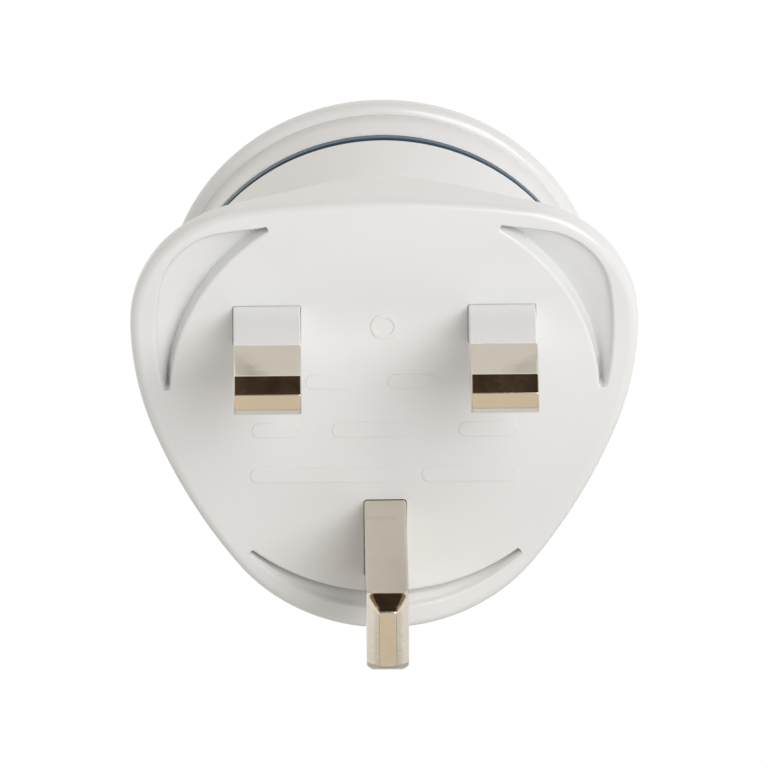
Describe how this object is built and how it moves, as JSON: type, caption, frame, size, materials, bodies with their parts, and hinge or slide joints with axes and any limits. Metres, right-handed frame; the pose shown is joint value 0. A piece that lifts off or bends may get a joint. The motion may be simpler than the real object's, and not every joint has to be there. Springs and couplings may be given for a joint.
{
  "type": "travel plug adaptor",
  "caption": "Round travel plug adaptor: flat rectangular pins on a rounded-triangle flange, sleeved line and neutral, and a shuttered socket for flat angled blades at the back.",
  "frame": {"origin": "on the barrel's axis, in the plane of the engagement face that meets the wall outlet", "axes": "+Y from the engagement face to the socket, so the pins point to -Y; +Z towards the two sleeved pins, with the earth pin below; X across"},
  "size_m": [0.048, 0.0467, 0.0452],
  "materials": {
    "shell_white": "glossy moulded white, slightly warm",
    "sleeve_white": "satin moulded white, slightly cooler than the shell",
    "accent_blue": "satin slate blue",
    "nickel_plate": "nickel-plated brass, satin",
    "contact_bronze": "plain rolled strip",
    "zinc_steel": "zinc-plated",
    "carrier_grey": "satin moulded grey",
    "shutter_ivory": "satin moulded ivory"
  },
  "bodies": {
    "body": {"accent_ring": "accent_blue", "carrier_screw_left": "zinc_steel", "carrier_screw_right": "zinc_steel", "contact_carrier": "carrier_grey", "cover_screw_left": "zinc_steel", "cover_screw_right": "zinc_steel", "earth_contact": "contact_bronze", "earth_pin": "nickel_plate", "earth_rivet": "zinc_steel", "line_contact": "contact_bronze", "line_pin": "nickel_plate", "line_pin_sleeve": "sleeve_white", "line_rivet": "zinc_steel", "neutral_contact": "contact_bronze", "neutral_pin": "nickel_plate", "neutral_pin_sleeve": "sleeve_white", "neutral_rivet": "zinc_steel", "plug_base": "shell_white", "rear_housing": "shell_white", "shutter_cover": "carrier_grey", "shutter_spring": "zinc_steel", "socket_face": "shell_white"},
    "shutter": {"shutter": "shutter_ivory"}
  },
  "joints": [
    {"name": "shutter_slide", "type": "slide", "parent": "body", "child": "shutter", "axis": [1, 0, 0], "range_m": [0, 0.003], "stiffness_N_per_m": 150, "springref_m": -0.002, "deforming": ["shutter_spring"]}
  ]
}
